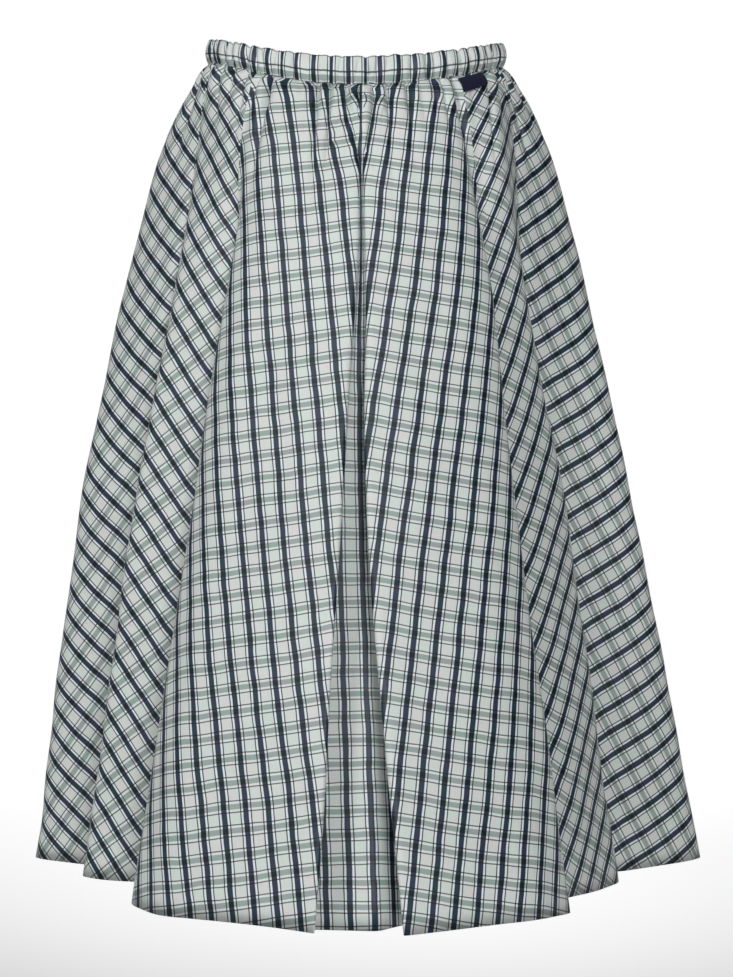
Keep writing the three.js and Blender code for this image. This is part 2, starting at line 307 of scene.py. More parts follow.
def check_cloth():
    material, shader, wire = new_material("check poplin", Specular_IOR_Level=0.5)
    cut = wire.node("ShaderNodeUVMap", {"uv_map": "cut"})
    # Yarns never run dead straight in worn cloth: they wander by about 0.4 mm.
    stray = wire.node("ShaderNodeTexNoise", inputs={"Vector": cut, "Scale": WANDERS, "Detail": 2.0}, out=1)
    offset = wire.node(
        "ShaderNodeVectorMath", {"operation": "MULTIPLY_ADD"},
        {0: stray, 1: (WANDER, WANDER, 0), 2: (-WANDER / 2, -WANDER / 2, 0)},
    )
    cut = wire.node("ShaderNodeVectorMath", {"operation": "ADD"}, {0: cut, 1: offset})
    across = cut.axis(0)
    along = cut.axis(1)

    def soft_noise(scale, stretch=(1.0, 1.0), seed=0.0):
        """Noise from 0 to 1 over the flat cloth, drawn out along the warp or the weft."""
        place = wire.node(
            "ShaderNodeCombineXYZ",
            inputs={0: across * stretch[0], 1: along * stretch[1], 2: seed},
        )
        return wire.node("ShaderNodeTexNoise", inputs={"Vector": place, "Scale": scale, "Detail": 1.0})

    def distance(place):
        """How far a point is from the middle of its stripe, in shares of the repeat."""
        return abs((place / REPEAT + 0.5) % 1.0 - 0.5)

    warp, weft = distance(across), distance(along)
    edge = YARN_EDGE
    navy = warp.below(NAVY_STRIPE, edge)
    green = weft.below(GREEN_BAND, edge)
    margin = warp.below(MARGIN, edge).larger(weft.below(MARGIN, edge) * WEFT_MARGIN)
    warp_line = warp.below(LINE_OUT, edge) - warp.below(LINE_IN, edge)
    weft_line = weft.below(LINE_OUT, edge) - weft.below(LINE_IN, edge)

    drift = soft_noise(DRIFTS).below(0.5, 0.22)
    hue = soft_noise(HUES, (1.0, 0.8), 3.0).below(0.5, 0.18)
    ground = drift.blend(GROUND_WARM, GROUND_GREEN)
    ground = wire.node("ShaderNodeMix", {"data_type": "RGBA"}, {0: 0.5, 6: ground, 7: GROUND}, out=2)
    colour = margin.blend(ground, WHITE_YARN)
    colour = (weft_line * WEFT_LINE).blend(colour, LINE_TINT, "MULTIPLY")
    colour = (warp_line * WARP_LINE).blend(colour, LINE_TINT, "MULTIPLY")
    colour = green.blend(colour, hue.blend(GREY_TINT, GREEN_TINT), "MULTIPLY")
    colour = navy.blend(colour, hue.blend(NAVY_TINT, TEAL_TINT), "MULTIPLY")
    colour = (navy * green).blend(colour, CROSSING_TINT, "MULTIPLY")

    slub = soft_noise(1.0, (SLUB_FINE, SLUB_LONG), 5.0) + soft_noise(1.0, (SLUB_LONG, SLUB_FINE), 7.0) - 1.0
    shade = wire.node("ShaderNodeHueSaturation", inputs={2: slub * SLUB_SHADE + 1.0, 4: colour})
    bulge = (across * (2 * math.pi / THREAD)).sine() * (along * (2 * math.pi / THREAD)).sine()
    height = bulge * THREAD_BULGE + slub * SLUB_BULGE
    bump = wire.node(
        "ShaderNodeBump", inputs={"Height": height, "Distance": WEAVE_DEPTH, "Strength": WEAVE_STRENGTH}
    )
    links = material.node_tree.links
    links.new(shade.socket, shader.inputs["Base Color"])
    roughness = CLOTH_ROUGHNESS + slub * SLUB_SHINE - navy * NAVY_SHINE
    links.new(roughness.socket, shader.inputs["Roughness"])
    links.new(bump.socket, shader.inputs["Normal"])
    print("check repeat", REPEAT * 1000, "mm")
    return material


CHECK_CLOTH = check_cloth()

# %% [markdown]
# ## The hanging form
# Cloth that hangs from a waist falls in cones: straight lines that run from the waist seam down to
# the hem. Each fold is such a line, a ridge or a valley, and between two folds the cloth is nearly
# flat. So the form is a table of fold lines, with the place of each at a few heights, and a ring
# round the skirt at any height is drawn from fold to fold with its corners rounded off. The numbers
# are those of the CAD model, in millimetres.

# %% Waist and fold lines
MM = 0.001
WAIST_HALF_WIDTH, WAIST_HALF_DEPTH = 130 * MM, 100 * MM
BAND_TOP, BAND_TOP_DIP = 24 * MM, 30 * MM  # at the sides, and how far the front dips
BAND_BOTTOM, BAND_BOTTOM_DIP = 3.5 * MM, 33 * MM
LEFT_STRETCH = 1.15  # how much wider the dip is on the wearer's left
CLOTH = 1.2 * MM
SEAM_GAP = 0.3 * MM
STATIONS = (0.0, 0.1, 0.22, 0.43, 1.0)  # waist, hip, seat, thigh, hem
# The swell under the band, and shares of the drop: where it is full, where it is gone, and where the
# waist's ellipse has given way to the folds.
SWELL_OUT, SWELL_FULL, SWELL_GONE = 8.5 * MM, 0.02, 0.15
WAIST_FADE = 0.05
MOST_BEND = 0.44  # share of the way to the next fold line that a bend may take

# turn: degrees round the waist from the centre front. bend: how far from the line the cloth starts
# to round off. hip, seat, thigh: (x, y). hem: (x, y, z). skip: degrees of the cut that are folded
# away out of sight in a deep valley.
Fold = namedtuple("Fold", "name bend turn hip seat thigh hem skip", defaults=(0,))

FRONT_FOLDS = (
    Fold("side seam right", 0, -96, (-168, 18), (-193, 30), (-227, 34), (-284, 58, -705)),
    Fold("side right", 34, -87, (-173, 0), (-198, 3), (-232, 0), (-292, 14, -703)),
    Fold("third start right", 6, -72.5, (-140, -38), (-156, -44), (-184, -30), (-243, -4, -706)),
    Fold("second valley right", 10, -71, (-136, -41), (-146, -46), (-160, -38), (-200, -16, -706), 3),
    Fold("second ridge right", 14, -69.5, (-133, -50), (-149, -66), (-179, -76), (-238, -82, -703)),
    Fold("second face right", 20, -56, (-113, -76), (-127, -84), (-153, -87), (-212, -96, -705)),
    Fold("first valley right", 14, -39, (-97, -88), (-95, -95), (-106, -101), (-128, -112, -706), 23),
    Fold("first ridge right", 24, -35, (-89, -100), (-105, -108), (-130, -126), (-188, -186, -707)),
    Fold("first shoulder right", 14, -29, (-73, -113), (-85, -130), (-107, -155), (-157, -227, -711)),
    Fold("first face right", 30, -14, (-36, -122), (-41, -144), (-54, -177), (-90, -259, -711)),
    Fold("pleat edge right", 9, 0.6, (1.5, -126), (1.5, -151), (-5, -189), (-28, -284, -715)),
    Fold("pleat tuck right", 9, 1.7, (3.5, -123.5), (2.5, -143), (-12, -163), (-46, -243, -719), 2),
    Fold("pleat crease", 4, 2.4, (5, -122.5), (5.5, -139), (6, -161), (18, -252, -718.5)),
    Fold("pleat tuck left", 12, 3.1, (6.5, -123.5), (8.5, -143), (19, -157), (58, -213, -716), 1),
    Fold("pleat edge left", 8, 4.2, (8.5, -126), (9, -151), (6, -189), (36, -285, -716.5)),
    Fold("first face left", 30, 15, (40, -122), (47, -144), (56, -177), (92, -262, -714)),
    Fold("first shoulder left", 16, 29, (72, -113), (88, -131), (104, -157), (144, -238, -712.5)),
    Fold("first ridge left", 24, 36.5, (90, -102), (112, -110), (131, -131), (183, -196, -713)),
    Fold("first valley left", 14, 40, (99, -87), (102, -99), (103, -116), (130, -190, -712), 15),
    Fold("second face left", 16, 56, (116, -81), (121, -90), (145, -90), (201, -119, -711)),
    Fold("second ridge left", 16, 66, (127, -71), (139, -75), (171, -61), (229, -78, -708)),
    Fold("second valley left", 10, 68, (137, -38), (141, -48), (150, -30), (197, -26, -710), 23),
    Fold("third start left", 6, 70, (142, -36), (150, -44), (173, -26), (236, -10, -711)),
    Fold("side left", 34, 87, (171, -6), (197, -4), (231, -4), (313, 12, -703)),
    Fold("side seam left", 0, 96, (166, 14), (191, 24), (226, 34), (305, 58, -705)),
)
BACK_FOLDS = (
    Fold("outer ridge left", 34, 112, (148, 65), (168, 82), (207, 102), (270, 150, -708)),
    Fold("outer valley left", 22, 124, (128, 84), (136, 92), (156, 100), (198, 126, -709)),
    Fold("middle ridge left", 26, 138, (96, 110), (110, 128), (132, 158), (182, 234, -711)),
    Fold("middle valley left", 20, 150, (66, 114), (71, 128), (80, 144), (98, 188, -711)),
    Fold("inner ridge left", 26, 165, (34, 122), (37, 143), (42, 175), (58, 268, -713)),
    Fold("centre valley", 20, 180, (1, 119), (0, 135), (-2, 156), (-4, 222, -712)),
    Fold("inner ridge right", 26, 194, (-31, 122), (-36, 143), (-44, 173), (-64, 262, -712)),
    Fold("middle valley right", 20, 208, (-62, 115), (-69, 129), (-82, 146), (-108, 192, -710)),
    Fold("middle ridge right", 26, 222, (-93, 110), (-108, 127), (-131, 154), (-176, 226, -709)),
    Fold("outer valley right", 22, 236, (-127, 84), (-136, 92), (-155, 101), (-188, 128, -708)),
    Fold("outer ridge right", 34, 249, (-150, 64), (-170, 80), (-204, 99), (-254, 142, -707)),
)


def behind_seam(fold, sign):
    """The back starts a seam's gap behind the front's side seam."""
    back = {}
    for at in ("hip", "seat", "thigh", "hem"):
        x, y, *height = getattr(fold, at)
        back[at] = (x, y + SEAM_GAP / MM, *height)
    return fold._replace(turn=fold.turn + sign * math.degrees(SEAM_GAP / WAIST_HALF_DEPTH), **back)


BACK_RIGHT_SEAM = behind_seam(FRONT_FOLDS[0], -1)
BACK_PANEL_FOLDS = (
    behind_seam(FRONT_FOLDS[-1], 1),
    *BACK_FOLDS,
    BACK_RIGHT_SEAM._replace(turn=BACK_RIGHT_SEAM.turn + 360),
)
print(len(FRONT_FOLDS), "front fold lines,", len(BACK_PANEL_FOLDS), "back fold lines")

# %% Rings round the skirt


def waist_place(turn):
    angle = math.radians(turn)
    return WAIST_HALF_WIDTH * math.sin(angle), -WAIST_HALF_DEPTH * math.cos(angle)


def waist_normal(turn):
    x, y = waist_place(turn)
    return Vector((x / WAIST_HALF_WIDTH**2, y / WAIST_HALF_DEPTH**2, 0)).normalized()


def dip_at(turn):
    side = (turn + 180) % 360 - 180
    return max(0, math.cos(math.radians(side / LEFT_STRETCH if side > 0 else side))) ** 2


def band_top(turn):
    return BAND_TOP - BAND_TOP_DIP * dip_at(turn)


def band_bottom(turn):
    return BAND_BOTTOM - BAND_BOTTOM_DIP * dip_at(turn)


def seam_height(turn):
    return band_bottom(turn) - SEAM_GAP


def along_drop(values, share):
    """A smooth course through the five stations: cubic spans with averaged slopes."""
    at = STATIONS
    chord = [(values[i + 1] - values[i]) / (at[i + 1] - at[i]) for i in range(4)]
    slope = [chord[0]]
    for i in range(1, 4):
        before, after = at[i] - at[i - 1], at[i + 1] - at[i]
        slope.append((chord[i - 1] * after + chord[i] * before) / (before + after))
    slope.append(chord[3])
    span = max(i for i in range(4) if at[i] <= share)
    length = at[span + 1] - at[span]
    s = (share - at[span]) / length
    return (
        (2 * s**3 - 3 * s**2 + 1) * values[span]
        + (s**3 - 2 * s**2 + s) * length * slope[span]
        + (3 * s**2 - 2 * s**3) * values[span + 1]
        + (s**3 - s**2) * length * slope[span + 1]
    )


def fold_place(fold, share):
    """A fold line's place as (x, y, height of its hem, turn of the waist above it)."""
    waist = [v / MM for v in waist_place(fold.turn)]
    stops = (waist, fold.hip, fold.seat, fold.thigh, fold.hem)
    x, y = (along_drop([stop[axis] for stop in stops], share) * MM for axis in (0, 1))
    return Vector((x, y, fold.hem[2] * MM, fold.turn))


def flat_distance(a, b):
    return math.hypot(a.x - b.x, a.y - b.y)


def cut_back(corner, neighbour, bend):
    distance = flat_distance(corner, neighbour)
    return corner.lerp(neighbour, min(bend * MM, MOST_BEND * distance) / distance)


PITCH = 2.9 * MM  # from one column of the mesh to the next, at the hem
LEAST_BEND_COLUMNS = 8


def plan_columns(folds):
    """How many columns each fold gets: in the stretch before it, and in its bend."""
    hem = [fold_place(fold, 1) for fold in folds]
    plan = [(0, 0)]
    for i in range(1, len(folds)):
        width = flat_distance(hem[i - 1], hem[i])
        bends = sum(min(fold.bend * MM, MOST_BEND * width) for fold in folds[i - 1:i + 1])
        stretch = max(2, round((width - bends) / PITCH))
        bend = 0 if i == len(folds) - 1 else max(LEAST_BEND_COLUMNS, round(2 * folds[i].bend * MM / PITCH))
        plan.append((stretch, bend))
    return plan


def ring(folds, plan, share):
    """One ring of a panel: straight from fold to fold, with each corner rounded off."""
    corners = [fold_place(fold, share) for fold in folds]
    places = [corners[0]]
    for i in range(1, len(corners)):
        last = i == len(corners) - 1
        start = corners[i] if last else cut_back(corners[i], corners[i - 1], folds[i].bend)
        stretch, bend = plan[i]
        here = places[-1]
        places += [here.lerp(start, step / stretch) for step in range(1, stretch + 1)]
        if last:
            continue
        end = cut_back(corners[i], corners[i + 1], folds[i].bend)
        for step in range(1, bend + 1):
            t = step / bend
            places.append(start.lerp(corners[i], t).lerp(corners[i].lerp(end, t), t))
    return places


def ring_points(folds, plan, share):
    """The ring in space. At the seam it lies on the waist's ellipse, and below the band it swells."""
    fade = max(0, 1 - share / WAIST_FADE) ** 2
    rise = math.sin(math.pi / 2 * min(1, share / SWELL_FULL))
    swell = SWELL_OUT * rise * max(0, 1 - share / SWELL_GONE) ** 2
    points = []
    for place in ring(folds, plan, share):
        waist_x, waist_y = waist_place(place.w)
        top = seam_height(place.w)
        point = Vector((
            place.x + (waist_x - place.x) * fade,
            place.y + (waist_y - place.y) * fade,
            top + (place.z - top) * share,
        ))
        points.append((point + waist_normal(place.w) * swell, place.w))
    return points


def ring_normals(points):
    """The outward direction at each point, level with the ground."""
    last = len(points) - 1
    normals = []
    for i in range(last + 1):
        along = points[min(i + 1, last)] - points[max(i - 1, 0)]
        normals.append(Vector((along.y, -along.x, 0)).normalized())
    return normals


# %% [markdown]
# ## Gathers and creases
# Elastic draws the top of the cloth into grooves that die away over the first hand's width, and the
# cloth puffs out between them. Below, poplin keeps a few sharp little creases where it was folded.
# Noise alone would spread such marks evenly, which cloth never does, so each main one is listed in a
# table, and noise adds only the slight unevenness of a cloth that isn't pressed dead flat.

# %% Gathers under the band
# turn: degrees round the waist. width: degrees. depth: millimetres. reach: share of the drop.
Gather = namedtuple("Gather", "turn width depth reach")
GATHERS = [Gather(*row) for row in (
    (-88, 2.2, 1.6, 0.05), (-79, 1.8, 2.4, 0.07), (-70, 2.0, 1.4, 0.04), (-61, 2.0, 1.8, 0.05),
    (-52, 1.8, 1.2, 0.035), (-45, 1.6, 1.6, 0.05), (-38.5, 1.4, 1.5, 0.04), (-33.3, 1.3, 3.6, 0.07),
    (-26, 1.6, 1.2, 0.03), (-20.5, 1.2, 1.0, 0.03), (-17.2, 0.9, 1.6, 0.035), (-13.8, 1.0, 2.6, 0.09),
    (-9.3, 1.0, 3.0, 0.08), (-6.1, 0.8, 1.2, 0.03), (-3.2, 0.9, 2.4, 0.05), (1.1, 1.1, 1.6, 0.04),
    (6.5, 1.0, 2.0, 0.05), (11.9, 1.2, 3.0, 0.06), (19.2, 1.2, 2.6, 0.05), (24.6, 1.0, 1.6, 0.04),
    (29.5, 1.0, 1.0, 0.03), (33.8, 1.1, 1.8, 0.05), (38.9, 1.2, 3.2, 0.07), (46, 1.4, 1.2, 0.03),
    (58, 1.5, 2.6, 0.06), (66, 1.8, 1.6, 0.05), (74, 1.6, 2.6, 0.08), (83, 2.0, 1.5, 0.05),
    (92, 1.9, 2.2, 0.06), (100, 1.6, 1.8, 0.05), (107, 1.6, 2.6, 0.07), (116, 1.7, 1.6, 0.04),
    (123, 1.5, 3.0, 0.09), (131, 1.6, 1.8, 0.05), (138, 1.3, 2.2, 0.05), (144, 1.4, 1.4, 0.04),
    (151, 1.5, 3.0, 0.08), (159, 1.3, 1.6, 0.04), (165, 1.4, 2.4, 0.06), (172, 1.2, 1.6, 0.04),
    (179, 1.5, 3.0, 0.09), (186, 1.4, 1.8, 0.05), (193, 1.4, 2.6, 0.06), (201, 1.3, 1.4, 0.04),
    (208, 1.5, 3.2, 0.09), (215, 1.4, 1.6, 0.05), (223, 1.5, 2.2, 0.06), (231, 1.4, 1.8, 0.04),
    (237, 1.6, 3.0, 0.08), (246, 1.6, 1.6, 0.05), (254, 1.7, 2.4, 0.06), (262, 1.8, 1.8, 0.05),
)]
PUFF, PUFF_REACH = 2.2 * MM, 0.05
GATHER_START = 0.006  # share of the drop by which the seam lets the cloth move
GATHER_DEPTH, GATHER_WIDTH = 4.0, 1.05  # every gather's depth and width are multiplied by these
GROOVE_END = 4  # widths from its middle, past which a groove no longer shows


def turn_between(turn, other):
    return (turn - other + 180) % 360 - 180


def groove_shape(off):
    """A groove's depth from 1 at its middle: nearly sharp there, and soft at its sides."""
    return math.exp(-(off**1.3) * 1.3)


def gather_at(turn, share):
    """How far the gathers move the cloth out (or, in a groove, in) just under the band."""
    start = min(1, share / GATHER_START)
    moved = PUFF * math.exp(-share / PUFF_REACH)
    for gather in GATHERS:
        off = abs(turn_between(turn, gather.turn)) / (gather.width * GATHER_WIDTH)
        if off < GROOVE_END:
            fading = math.exp(-((share / gather.reach) ** 1.4))
            moved -= GATHER_DEPTH * gather.depth * MM * groove_shape(off) * fading
    return moved * start


# %% Creases
# Straight troughs (or ridges, with depth under 0). side: where the crease is seen from. start, end:
# millimetres across, as seen from that side's axis, and up. width and depth: millimetres.
Crease = namedtuple("Crease", "side start end width depth")
# Each side's outward direction, and the axis that runs across it.
SIDES = {
    "front": (Vector((0, -1, 0)), 0),
    "back": (Vector((0, 1, 0)), 0),
    "right": (Vector((-1, 0, 0)), 1),
    "left": (Vector((1, 0, 0)), 1),
}
CREASES = [Crease(*row) for row in (
    ("front", (-9.7, -26), (5.5, -103), 2.4, 5.6),
    ("front", (22.6, -24), (13.6, -50), 2.4, 4.4),
    ("front", (16.6, -42), (7.8, -104), 2.4, 4.6),
    ("front", (-27, -76), (-10.7, -94), 2.2, 2.2),
    ("front", (-30.8, -26), (-27.9, -84), 2.2, 2.4),
    ("front", (-20.4, -26), (-12.8, -92), 2.2, 2.4),
    ("front", (31.7, -30), (18.8, -74), 2.6, 2.4),
    ("front", (-69, -26), (-77, -52), 3.6, 2.0),
    ("front", (66, -34), (74, -62), 3.2, 1.4),
    ("front", (80, -38), (88, -74), 3.4, 1.8),
    ("front", (42, -80), (62, -104), 5.0, 0.9),
    ("front", (-58, -118), (-36, -150), 6.0, 0.9),
    ("front", (48, -240), (60, -330), 9.0, 1.0),
    ("front", (-70, -260), (-62, -372), 10.0, 1.0),
    ("back", (-52, -40), (-46, -96), 4.0, 1.6),
    ("back", (20, -44), (12, -88), 4.0, 1.5),
    ("back", (58, -40), (70, -90), 4.0, 1.6),
    ("back", (-20, -120), (-4, -152), 6.0, 1.0),
    ("back", (90, -150), (112, -182), 6.0, 1.0),
    ("right", (10, -60), (-14, -84), 5.0, 1.2),
    ("right", (38, -170), (14, -204), 7.0, 1.1),
    ("left", (-6, -56), (20, -78), 5.0, 1.2),
    ("left", (30, -210), (4, -236), 7.0, 1.0),
)]
SHARP_DEPTH = 2  # millimetres: the creases deeper than this start nearly full, under the band
LEAST_FACING = 0.2  # how squarely the cloth has to face a crease's side to take it
CREASE_END = 3  # widths from its line, past which a crease no longer shows


def crease_at(point, normal):
    """How far the creases press the cloth in at a point."""
    pressed = 0
    for crease in CREASES:
        facing, axis = SIDES[crease.side]
        if normal.dot(facing) < LEAST_FACING:
            continue
        here = Vector((point[axis] / MM, point.z / MM))
        start, end = Vector(crease.start), Vector(crease.end)
        line = end - start
        t = (here - start).dot(line) / line.length_squared
        if not 0 < t < 1:
            continue
        away = (here - start - line * t).length / crease.width
        if away < CREASE_END:
            if crease.depth > SHARP_DEPTH:
                fading = min(1, 0.35 + t * 5, (1 - t) / 0.25)
            else:
                fading = math.sin(math.pi * t) ** 0.7
            pressed += crease.depth * MM * math.exp(-(away**1.4)) * fading
    return pressed


UNEVEN_OUT, UNEVEN_LEAST = 2.0 * MM, 0.35
UNEVEN_ACROSS, UNEVEN_DOWN = 17.0, 6.0  # soft swellings for each metre


def uneven_at(flat, share, seed):
    """Soft long swellings, which grow towards the free hem."""
    at = Vector((flat.x * UNEVEN_ACROSS, flat.y * UNEVEN_DOWN, seed))
    return noise.noise(at) * UNEVEN_OUT * (UNEVEN_LEAST + share)


# %% [markdown]
# ## A panel as one flat cut
# Each panel is a grid, and every column of the grid is one straight line of the cut, from the waist
# edge to the hem. Laid flat, two neighbouring lines are as far apart at the hem as they are on the
# skirt, and at the waist as far as they were before the elastic drew them together. That settles
# the angle between them, so the flat piece is found line by line, starting from the straight grain
# at the centre. Where a deep valley hides cloth, the next line starts further round.
#
# Between two such valleys, each ring's cut is then shared out again by its length on the skirt, so
# that a groove takes up more cloth than the puff beside it and the check isn't stretched there.

# %% Develop a panel flat
ROWS = 66
ROW_CROWDING = 1.45  # rows lie closer together at the waist
TURN_UP = 13 * MM
TURN_UP_ROWS = 3
# Cut width for each unit of finished waist, by degrees round from the centre front, on either side.
GATHER_RATIO = ((0, 1.25), (35, 1.15), (42, 0.98), (64, 0.98), (73, 1.4), (96, 1.5), (130, 1.3), (181, 1.3))
SPREAD = 0.8  # how much of a cell's swelling between waist and hem goes into the cut

Line = namedtuple("Line", "start angle")  # a line of the cut: its place on the waist edge, its lean


def gather_ratio(turn):
    away = abs(turn_between(turn, 0))
    for (start, before), (end, after) in zip(GATHER_RATIO, GATHER_RATIO[1:]):
        if away < end:
            return before + (after - before) * (away - start) / (end - start)
    return GATHER_RATIO[-1][1]


def develop(folds, plan, rings, centre):
    """Each cell between two columns as its two lines on the flat cut."""
    top, hem = rings[0], rings[-1]
    drop = (hem[0][0] - top[0][0]).length
    breaks = {}
    column = 0
    for fold, (stretch, bend) in zip(folds, plan):
        column += stretch
        breaks[column + bend // 2] = fold
        if fold.name == centre:
            centre_column = column + bend // 2
        column += bend
    cells = []
    line = Line(Vector((0, 0)), 0.0)
    centre_line = line
    for j in range(len(top) - 1):
        if j == centre_column:
            centre_line = line
        fold = breaks.get(j)
        if fold and fold.skip:
            line = Line(line.start, line.angle + math.radians(fold.skip))
        waist = (top[j + 1][0] - top[j][0]).length * gather_ratio(top[j][1])
        width = (hem[j + 1][0] - hem[j][0]).length
        turned = (width - waist) / drop
        middle = line.angle + turned / 2
        after = Line(line.start + Vector((math.cos(middle), math.sin(middle))) * waist, line.angle + turned)
        cells.append((line, after))
        line = after

    def centred(line):
        """The same line with the centre fold on the straight grain at the origin."""
        back = -centre_line.angle
        off = line.start - centre_line.start
        x = off.x * math.cos(back) - off.y * math.sin(back)
        y = off.x * math.sin(back) + off.y * math.cos(back)
        return Line(Vector((x, y)), line.angle + back)

    folded = [column for column, fold in breaks.items() if fold.skip]
    return [(centred(a), centred(b)) for a, b in cells], folded


def on_cut(line, length, aside=0.0):
    """The flat place that lies a length down a line of the cut, and a little to its side."""
    down = Vector((math.sin(line.angle), -math.cos(line.angle)))
    across = Vector((math.cos(line.angle), math.sin(line.angle)))
    return line.start + down * length + across * aside


GATHERS_END = 0.12  # share of the drop by which the gathers have let the cloth out


def spread(rings, rows, shares, valleys):
    """For each ring, how far each cell's two lines move aside, so that its width on the cut follows
    its width on the skirt. A stretch between two deep valleys keeps its middle line and its width."""
    cells = len(rings[0]) - 1
    top, hem = rings[0], rings[-1]
    edges = [0] + sorted(valleys) + [cells]
    ratios = [gather_ratio(top[j][1]) for j in range(cells)]
    waists = [(top[j + 1][0] - top[j][0]).length * ratios[j] for j in range(cells)]
    hems = [(hem[j + 1][0] - hem[j][0]).length for j in range(cells)]
    moved = []
    for ring_row, row, share in zip(rings, rows, shares):
        gathered = max(0, 1 - share / GATHERS_END)
        sides = [None] * cells
        for start, end in zip(edges, edges[1:]):
            cell_range = range(start, end)
            # The widths of the cells: left by straight lines, of the smooth form, and as worn.
            straight = {j: waists[j] + (hems[j] - waists[j]) * share for j in cell_range}
            eased = {j: 1 + (ratios[j] - 1) * gathered for j in cell_range}
            widths = {j: (ring_row[j + 1][0] - ring_row[j][0]).length * eased[j] for j in cell_range}
            worn = {j: (row[j + 1] - row[j]).length * eased[j] for j in cell_range}
            total = sum(straight.values()) * (1 - SPREAD) + sum(widths.values()) * SPREAD
            scale = total / sum(worn.values())
            gaps = {j: worn[j] * scale - straight[j] for j in cell_range}
            at = -sum(gaps[j] for j in range(start, (start + end) // 2))
            for j in cell_range:
                sides[j] = (at, at + gaps[j])
                at += gaps[j]
        moved.append(sides)
    return moved


# %% Lay a panel's points
SEAM_SINK, SEAM_REACH = 0.9 * MM, 2.2 * MM  # how deep a side seam lies, and how far from it
SEAM_CALM = 4 * SEAM_REACH  # nearer to a side seam than this, gathers and creases fade out


def lengths_down(rings):
    """For each ring, how far down the cloth each column's point lies from the waist edge."""
    lengths = [[0.0] * len(rings[0])]
    for above, here in zip(rings, rings[1:]):
        lengths.append([
            length + (point - over).length
            for length, (over, _), (point, _) in zip(lengths[-1], above, here)
        ])
    return lengths


def lay_rows(rings, normals, shares, lines, lengths, seed):
    """The rings with their gathers, creases and unevenness."""
    rows = []
    for row, share in enumerate(shares):
        first, last = rings[row][0][0], rings[row][-1][0]
        points = []
        for j, (base, turn) in enumerate(rings[row]):
            flat = on_cut(lines[j], lengths[row][j])
            out = gather_at(turn, share) + uneven_at(flat, share, seed) - crease_at(base, normals[row][j])
            to_seam = min((base - first).length, (base - last).length)
            calm = 1 - math.exp(-((to_seam / SEAM_CALM) ** 2))
            out = out * calm - SEAM_SINK * math.exp(-((to_seam / SEAM_REACH) ** 2))
            points.append(base + normals[row][j] * out)
        rows.append(points)
    return rows


def turn_up_hem(rows, normals, lengths):
    """Adds the rows that go back up inside the hem."""
    hem, hem_normals, above, hem_lengths = rows[-1], normals[-1], rows[-3], lengths[-1]
    for step in range(1, TURN_UP_ROWS + 1):
        up = TURN_UP * (step - 0.5) / (TURN_UP_ROWS - 0.5)
        turned = []
        for j, point in enumerate(hem):
            rise = (above[j] - point).normalized()
            turned.append(point + rise * up - hem_normals[j] * (CLOTH + SEAM_GAP))
        rows.append(turned)
        extra = TURN_UP * step / TURN_UP_ROWS
        lengths.append([length + extra for length in hem_lengths])


# %% Build a panel
SHEET_THICKNESS = CLOTH * 0.8  # a little thinner than the CAD wall


def lay_grid(name, rows, lengths, cells, aside, shift):
    """The panel as a grid with its flat cut for a UV map. Gives its flat size and area too."""
    columns = len(rows[0])
    cloth = bmesh.new()
    bmesh.ops.create_grid(cloth, x_segments=columns - 1, y_segments=len(rows) - 1, size=0.5)
    place = {}
    for vert in cloth.verts:
        j = round((vert.co.x + 0.5) * (columns - 1))
        row = round((0.5 - vert.co.y) * (len(rows) - 1))
        place[vert] = (row, j)
    cut = cloth.loops.layers.uv.new("cut")
    area = 0.0
    for face in cloth.faces:
        spots = [place[vert] for vert in face.verts]
        cell = min(j for _, j in spots)
        for loop, (row, j) in zip(face.loops, spots):
            side = aside[row][cell][j - cell]
            loop[cut].uv = on_cut(cells[cell][j - cell], lengths[row][j], side) + Vector(shift) * MM
        face.smooth = True
        corners = [loop[cut].uv for loop in face.loops]
        area += abs((corners[2] - corners[0]).cross(corners[3] - corners[1])) / 2
    for vert, (row, j) in place.items():
        vert.co = rows[row][j]
    flat = [loop[cut].uv.copy() for face in cloth.faces for loop in face.loops]
    size = [max(at[axis] for at in flat) - min(at[axis] for at in flat) for axis in (0, 1)]
    return to_object(name, cloth, CHECK_CLOTH), size, area


def make_panel(name, folds, centre, seed, shift):
    """A whole panel."""
    plan = plan_columns(folds)
    shares = [(row / ROWS) ** ROW_CROWDING for row in range(ROWS + 1)]
    rings = [ring_points(folds, plan, share) for share in shares]
    normals = [ring_normals([point for point, _ in row]) for row in rings]
    cells, folded = develop(folds, plan, rings, centre)
    lines = [cell[0] for cell in cells] + [cells[-1][1]]
    lengths = lengths_down(rings)
    rows = lay_rows(rings, normals, shares, lines, lengths, seed)
    aside = spread(rings, rows, shares, folded)
    aside += [aside[-1]] * TURN_UP_ROWS
    turn_up_hem(rows, normals, lengths)
    panel, size, area = lay_grid(name, rows, lengths, cells, aside, shift)
    thick = panel.modifiers.new("cloth thickness", "SOLIDIFY")
    thick.thickness = SHEET_THICKNESS
    thick.offset = 0
    print(name, len(lines), "columns, cut", [round(v, 3) for v in size], "m, area", round(area, 3), "m2")
    print("grain at the side seams", [round(math.degrees(line.angle), 1) for line in (lines[0], lines[-1])])
    return panel, size, area


front, front_size, front_area = make_panel("front_panel", FRONT_FOLDS, "pleat crease", 1.0, (1.5, -3.0))
back, back_size, back_area = make_panel("back_panel", BACK_PANEL_FOLDS, "centre valley", 9.0, (0, 0))

# %% [markdown]
# ## The waistband
# The band is a strip of the same check, folded over a wide elastic. Stretched flat it is half as
# long again as the waist, so the elastic pulls it into upright puckers, and its edges are scalloped.
# A torus would be smooth and round. A grid bent round the waist lets every pucker be pushed in where
# it belongs, and its two long edges are then merged. Its ends only meet at the centre back: the
# edges' unevenness doesn't repeat there, which leaves a step of up to 0.3 mm.

